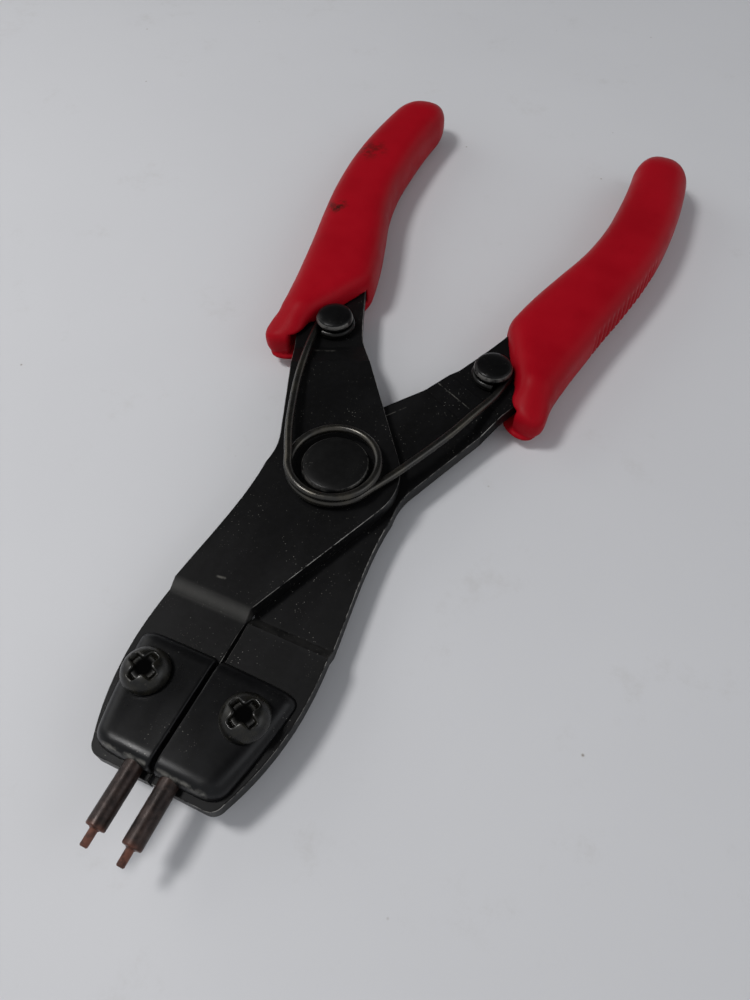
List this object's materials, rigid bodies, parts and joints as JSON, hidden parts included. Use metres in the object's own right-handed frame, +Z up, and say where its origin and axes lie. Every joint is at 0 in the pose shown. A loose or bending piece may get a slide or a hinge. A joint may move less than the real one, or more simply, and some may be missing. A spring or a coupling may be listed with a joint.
{
  "type": "snap ring pliers",
  "caption": "External snap ring pliers with stamped black levers, a coiled return spring, screwed-down replaceable tips and red vinyl grips.",
  "frame": {"origin": "on the pivot axis, on the plane that the pliers lie on, at the flat foot of the pivot rivet", "axes": "+Z up along the pivot axis, +Y along the tool towards the handles, +X towards the right lever"},
  "size_m": [0.083, 0.1999, 0.0142],
  "materials": {
    "lever_steel": "black oxide, satin, dusty",
    "rivet_steel": "black oxide, satin",
    "clamp_steel": "black oxide, semi-gloss",
    "screw_steel": "worn black oxide",
    "spring_wire": "dark drawn wire",
    "tip_steel": "rusty brown patina",
    "grip_vinyl": "satin vinyl, lightly scuffed"
  },
  "bodies": {
    "left_half": {"left_lever": "lever_steel", "pivot_rivet": "rivet_steel", "return_spring": "spring_wire", "left_spring_stud": "rivet_steel", "left_grip": "grip_vinyl", "left_tip_clamp": "clamp_steel", "left_clamp_screw": "screw_steel", "left_tip": "tip_steel"},
    "right_half": {"right_lever": "lever_steel", "right_spring_stud": "rivet_steel", "right_grip": "grip_vinyl", "right_tip_clamp": "clamp_steel", "right_clamp_screw": "screw_steel", "right_tip": "tip_steel"}
  },
  "joints": [
    {"name": "lever_pivot", "type": "hinge", "parent": "left_half", "child": "right_half", "pos_m": [0, 0, 0.0062], "axis": [0, 0, 1], "range_deg": [0, 24], "stiffness_Nm_per_rad": 0.5, "springref_deg": -20.05, "deforming": ["return_spring"]}
  ]
}
